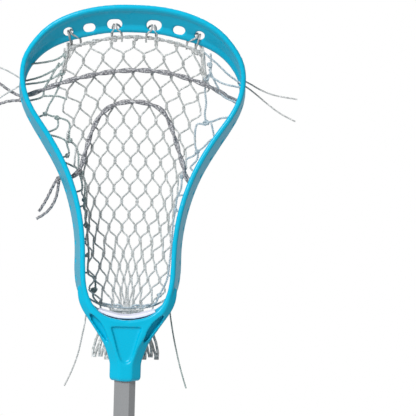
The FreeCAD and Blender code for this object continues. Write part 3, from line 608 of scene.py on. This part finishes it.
# ---------------------------------------------------------------- knots
# Overhand knots pulled tight against the back rail, where each string's ends come out of the
# sidewall: small ones in the thin cord, larger ones in the lace.
for node, yarn, slot in (("left_top_knot", white_cord, "white_string"),
                         ("right_top_knot", white_cord, "white_string"),
                         ("upper_shooting_knot", lace_yarn, "grey_lace"),
                         ("lower_shooting_knot", lace_yarn, "grey_lace"),
                         ("bottom_left_knot", white_cord, "side_string"),
                         # This knot's cord carries painted shade and a painted cyan reflection.
                         ("bottom_right_knot", shaded_cyan_tinted_cord, "side_string")):
    low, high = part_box(node)
    centre, tall = (low + high) / 2.0, (high.z - low.z) / 2.0
    thick = 0.00115 if yarn == lace_yarn else 0.0008
    run = [centre + Vector((p.x * 0.9, p.y * 1.6, p.z * tall / 0.0031))
           for p in tied(Vector((0.0, 0.0, 0.0)), 0.0031 - thick, 0.0)]
    piece = spun("tied_" + node, [run], yarn, 2, thick * 0.62, thick * 0.5, 160.0, step=0.0007)
    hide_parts(node)
    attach(piece, "stick")


# ---------------------------------------------------------------- ball stop
# Strip of closed-cell foam stuck in the bottom of the opening, where the ball rests. It is
# cut from sheet, so its faces are fine-grained and its edges slightly crushed.
cell_mm = 0.6
closed_cell_foam, tree, surface = new_finish("closed-cell foam")
place = add(tree, "ShaderNodeTexCoord")
bubbles = add(tree, "ShaderNodeTexVoronoi", {"Vector": place.outputs["Object"],
                                             "Scale": 1000.0 / cell_mm})
dimples = add(tree, "ShaderNodeBump", {"Height": bubbles.outputs["Distance"], "Strength": 0.4,
                                       "Distance": 0.0002})
wash = add(tree, "ShaderNodeTexNoise", {"Vector": place.outputs["Object"], "Scale": 90.0})
tint = add(tree, "ShaderNodeMix", {"Factor": wash.outputs["Fac"], "A": linear("#CFCBDA"),
                                   "B": linear("#DEDCE8")}, data_type="RGBA")
tree.links.new(tint.outputs["Result"], surface.inputs["Base Color"])
tree.links.new(dimples.outputs["Normal"], surface.inputs["Normal"])
surface.inputs["Roughness"].default_value = 0.9
surface.inputs["IOR"].default_value = 1.45

pad = rounded_copy("foam_ball_stop", "ball_stop_pad", voxel=0.0007, softening=4, face_share=1.0)
pad.data.materials.append(closed_cell_foam)
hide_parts("ball_stop_pad")
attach(pad, "stick")


# ---------------------------------------------------------------- shaft
# Drawn octagonal aluminium tube with a satin grey coat. Two printed bands of cyan zigzags run
# round it, one under the head and one above the butt, and both fade towards the middle.
across_flats = 0.0204
motif_length, motif_steps = 0.170, 206.0
lead_in = 10.0                               # steps of a motif that reach above its top
upper_start, upper_stop = 0.688, 0.420       # from the head down
lower_start, lower_stop = 0.325, 0.050
plain_middle = 0.374                         # where the print has faded out
lower_motif = 0.384                          # where the lower band's first whole motif would start
print_colours = ("#00B4D8", "#7D8C9A")
coat_colours = ("#828486", "#8C8E90")

coated_aluminium, tree, surface = new_finish("satin coated aluminium")
place = add(tree, "ShaderNodeTexCoord")
split = add(tree, "ShaderNodeSeparateXYZ", {"Vector": place.outputs["Object"]})
flat = across_flats * 0.2071                 # half the width of one of the eight flats

# The print is worked out in steps, each with its sum and what goes into it. First the distance
# round the tube from the middle of its front face, as a share of the seen width.
steps = [("sideways", "ABSOLUTE", "x"),
         ("on side", "GREATER_THAN", "y", -flat), ("on back", "GREATER_THAN", "y", flat),
         ("past edge", "ADD", "y", flat), ("up side", "MINIMUM", "past edge", 2.0 * flat),
         ("from edge", "ADD", "up side", across_flats / 2.0),
         ("inwards", "SUBTRACT", across_flats / 2.0, "sideways"),
         ("along back", "MULTIPLY", "inwards", "on back"),
         ("side part", "ADD", "from edge", "along back"),
         ("on front", "SUBTRACT", 1.0, "on side"), ("front part", "MULTIPLY", "sideways", "on front"),
         ("girth", "MULTIPLY_ADD", "side part", "on side", "front part"),
         ("way round", "SIGN", "x"), ("signed girth", "MULTIPLY", "girth", "way round"),
         ("round", "MULTIPLY_ADD", "signed girth", 1.0 / (across_flats * 1.03), 0.5)]
# Then the distance down one motif, in steps.
steps += [("is upper", "GREATER_THAN", "z", (upper_stop + lower_start) / 2.0),
          ("top", "MULTIPLY_ADD", "is upper", upper_start - lower_motif, lower_motif),
          ("fall", "SUBTRACT", "top", "z"),
          ("down", "MULTIPLY_ADD", "fall", motif_steps / motif_length, lead_in),
          ("turned", "FLOORED_MODULO", "down", motif_steps), ("step down", "SUBTRACT", "turned", lead_in)]
# Each stroke of the zigzag lies between two slanted edges, and has a thin gap between two more:
# where an edge starts, in steps, and how far it climbs across the tube's width.
strokes = {"first": ((5.7, -12.7), (109.0, -75.5), (22.7, -10.6), (60.0, -73.9)),
           "second": ((158.0, -76.0), (193.4, -11.4), (206.9, -81.9), (177.6, -12.1))}
for stroke, edges in strokes.items():
    for i, (start, slope) in enumerate(edges):
        steps += [(f"{stroke} edge {i}", "MULTIPLY_ADD", "round", slope, start),
                  (f"{stroke} past {i}", "GREATER_THAN", "step down", f"{stroke} edge {i}")]
    for part, i in (("band", 0), ("gap", 2)):
        steps += [(f"{stroke} {part} width", "SUBTRACT", f"{stroke} past {i}", f"{stroke} past {i + 1}"),
                  (f"{stroke} {part}", "MAXIMUM", f"{stroke} {part} width", 0.0)]
    steps += [(f"{stroke} rest", "SUBTRACT", f"{stroke} band", f"{stroke} gap"),
              (f"{stroke} ink", "MAXIMUM", f"{stroke} rest", 0.0)]
# The ink stops at both ends of each band, and fades towards the middle of the shaft.
for band, low, high in (("upper", upper_stop, upper_start + 0.006), ("lower", lower_stop, lower_start)):
    steps += [(f"{band} low", "GREATER_THAN", "z", low), (f"{band} high", "LESS_THAN", "z", high),
              (f"in {band}", "MULTIPLY", f"{band} low", f"{band} high")]
steps += [("drawn", "ADD", "first ink", "second ink"), ("in a band", "ADD", "in upper", "in lower"),
          ("inked", "MULTIPLY", "drawn", "in a band"),
          ("from middle", "SUBTRACT", "z", plain_middle), ("far", "ABSOLUTE", "from middle")]
found = {"x": split.outputs["X"], "y": split.outputs["Y"], "z": split.outputs["Z"]}
for step, sum_kind, *terms in steps:
    found[step] = add(tree, "ShaderNodeMath", {i: found.get(t, t) for i, t in enumerate(terms)},
                      operation=sum_kind).outputs[0]
strength = add(tree, "ShaderNodeMapRange", {"Value": found["far"], "From Min": 0.04, "From Max": 0.27})
ink = add(tree, "ShaderNodeMix", {"Factor": strength.outputs[0], "A": linear(print_colours[1]),
                                  "B": linear(print_colours[0])}, data_type="RGBA")
speck = add(tree, "ShaderNodeTexNoise", {"Vector": place.outputs["Object"], "Scale": 1400.0,
                                         "Detail": 2.0})
coat = add(tree, "ShaderNodeMix", {"Factor": speck.outputs["Fac"], "A": linear(coat_colours[0]),
                                   "B": linear(coat_colours[1])}, data_type="RGBA")
colour = add(tree, "ShaderNodeMix", {"Factor": found["inked"], "A": coat.outputs["Result"],
                                     "B": ink.outputs["Result"]}, data_type="RGBA")
peel = add(tree, "ShaderNodeBump", {"Height": speck.outputs["Fac"], "Strength": 0.15,
                                    "Distance": 0.00004})
scuff = add(tree, "ShaderNodeMapRange", {"Value": speck.outputs["Fac"], "To Min": 0.34, "To Max": 0.44})
tree.links.new(colour.outputs["Result"], surface.inputs["Base Color"])
tree.links.new(scuff.outputs[0], surface.inputs["Roughness"])
tree.links.new(peel.outputs["Normal"], surface.inputs["Normal"])
surface.inputs["Metallic"].default_value = 0.25
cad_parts["shaft_tube"].data.materials.clear()
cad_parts["shaft_tube"].data.materials.append(coated_aluminium)


# ---------------------------------------------------------------- butt cap
# Moulded rubber cap pushed over the end of the shaft: octagonal collar, cone and round end disc.
# The rubber is matte with a fine spark-eroded texture and a roughness that varies in soft patches.
spark_mm = 0.45
moulded_rubber, tree, surface = new_finish("moulded rubber")
place = add(tree, "ShaderNodeTexCoord")
spark = add(tree, "ShaderNodeTexNoise", {"Vector": place.outputs["Object"],
                                         "Scale": 1000.0 / spark_mm, "Detail": 3.0})
smudge = add(tree, "ShaderNodeTexNoise", {"Vector": place.outputs["Object"], "Scale": 70.0})
tint = add(tree, "ShaderNodeMix", {"Factor": smudge.outputs["Fac"], "A": linear("#545557"),
                                   "B": linear("#626365")}, data_type="RGBA")
rough = add(tree, "ShaderNodeBump", {"Height": spark.outputs["Fac"], "Strength": 0.4,
                                     "Distance": 0.0001})
dull = add(tree, "ShaderNodeMapRange", {"Value": smudge.outputs["Fac"], "To Min": 0.55, "To Max": 0.75})
tree.links.new(tint.outputs["Result"], surface.inputs["Base Color"])
tree.links.new(rough.outputs["Normal"], surface.inputs["Normal"])
tree.links.new(dull.outputs[0], surface.inputs["Roughness"])
surface.inputs["IOR"].default_value = 1.52
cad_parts["butt_cap"].data.materials.clear()
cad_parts["butt_cap"].data.materials.append(moulded_rubber)


# ---------------------------------------------------------------- screw
# Zinc-plated cross-head screw behind the socket, through the plastic into the shaft. Turned head
# with fine specks in its colour and roughness.
plated_steel, tree, surface = new_finish("zinc plated steel")
place = add(tree, "ShaderNodeTexCoord")
rings_node = add(tree, "ShaderNodeTexNoise", {"Vector": place.outputs["Object"], "Scale": 1800.0,
                                              "Detail": 2.0})
tint = add(tree, "ShaderNodeMix", {"Factor": rings_node.outputs["Fac"], "A": linear("#9FA1A3"),
                                   "B": linear("#BFC1C4")}, data_type="RGBA")
worn = add(tree, "ShaderNodeMapRange", {"Value": rings_node.outputs["Fac"], "To Min": 0.25,
                                        "To Max": 0.4})
tree.links.new(tint.outputs["Result"], surface.inputs["Base Color"])
tree.links.new(worn.outputs[0], surface.inputs["Roughness"])
surface.inputs["Metallic"].default_value = 1.0
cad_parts["head_screw"].data.materials.clear()
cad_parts["head_screw"].data.materials.append(plated_steel)


# ---------------------------------------------------------------- floor and light
# A plain pale floor, low enough for the cap to be drawn off above it, with a big soft light high on
# the left, a weak one on the right, one behind and an even white surround.
drop_below_cap = 0.047        # a little more than the cap's travel
paper, tree, surface = new_finish("pale paper")
place = add(tree, "ShaderNodeTexCoord")
fibre = add(tree, "ShaderNodeTexNoise", {"Vector": place.outputs["Object"], "Scale": 3.0})
tint = add(tree, "ShaderNodeMix", {"Factor": fibre.outputs["Fac"], "A": linear("#F6F6F6"),
                                   "B": linear("#FBFBFB")}, data_type="RGBA")
# The sheet fades out around the stick, so that no edge of it shows.
from_stick = add(tree, "ShaderNodeVectorMath", {0: place.outputs["Object"]}, operation="LENGTH")
cover = add(tree, "ShaderNodeMapRange", {"Value": from_stick.outputs["Value"], "From Min": 0.25,
                                         "From Max": 1.6, "To Min": 1.0, "To Max": 0.0})
tree.links.new(cover.outputs[0], surface.inputs["Alpha"])
tree.links.new(tint.outputs["Result"], surface.inputs["Base Color"])
surface.inputs["Roughness"].default_value = 0.9
floor_mesh = bpy.data.meshes.new("floor")
floor_mesh.from_pydata([(-4, -4, 0), (4, -4, 0), (4, 4, 0), (-4, 4, 0)], [], [(0, 1, 2, 3)])
floor = bpy.data.objects.new("floor", floor_mesh)
floor.location.z = -drop_below_cap
floor_mesh.materials.append(paper)
scene.collection.objects.link(floor)

for name, place, size, power in (("key light", (-1.2, -2.2, 2.2), 1.1, 100.0),
                                 ("fill light", (1.5, -2.1, 0.8), 1.4, 2.0),
                                 ("back light", (0.6, 1.9, 1.9), 1.4, 20.0)):
    lamp = bpy.data.objects.new(name, bpy.data.lights.new(name, "AREA"))
    lamp.data.shape, lamp.data.size, lamp.data.energy = "DISK", size, power
    lamp.location = place
    toward = Vector((0.0, 0.0, 0.9)) - Vector(place)
    lamp.rotation_euler = toward.to_track_quat("-Z", "Y").to_euler()
    scene.collection.objects.link(lamp)

world = bpy.data.worlds.new("surround")
world.use_nodes = True
scene.world = world
sky = world.node_tree
sky.nodes.clear()
ray = add(sky, "ShaderNodeLightPath")
seen = add(sky, "ShaderNodeBackground", {"Color": (1.0, 1.0, 1.0, 1.0), "Strength": 1.0})
felt = add(sky, "ShaderNodeBackground", {"Color": (1.0, 1.0, 1.0, 1.0), "Strength": 0.50})
blend = add(sky, "ShaderNodeMixShader", {0: ray.outputs["Is Camera Ray"], 1: felt.outputs[0],
                                         2: seen.outputs[0]})
add(sky, "ShaderNodeOutputWorld", {"Surface": blend.outputs[0]})
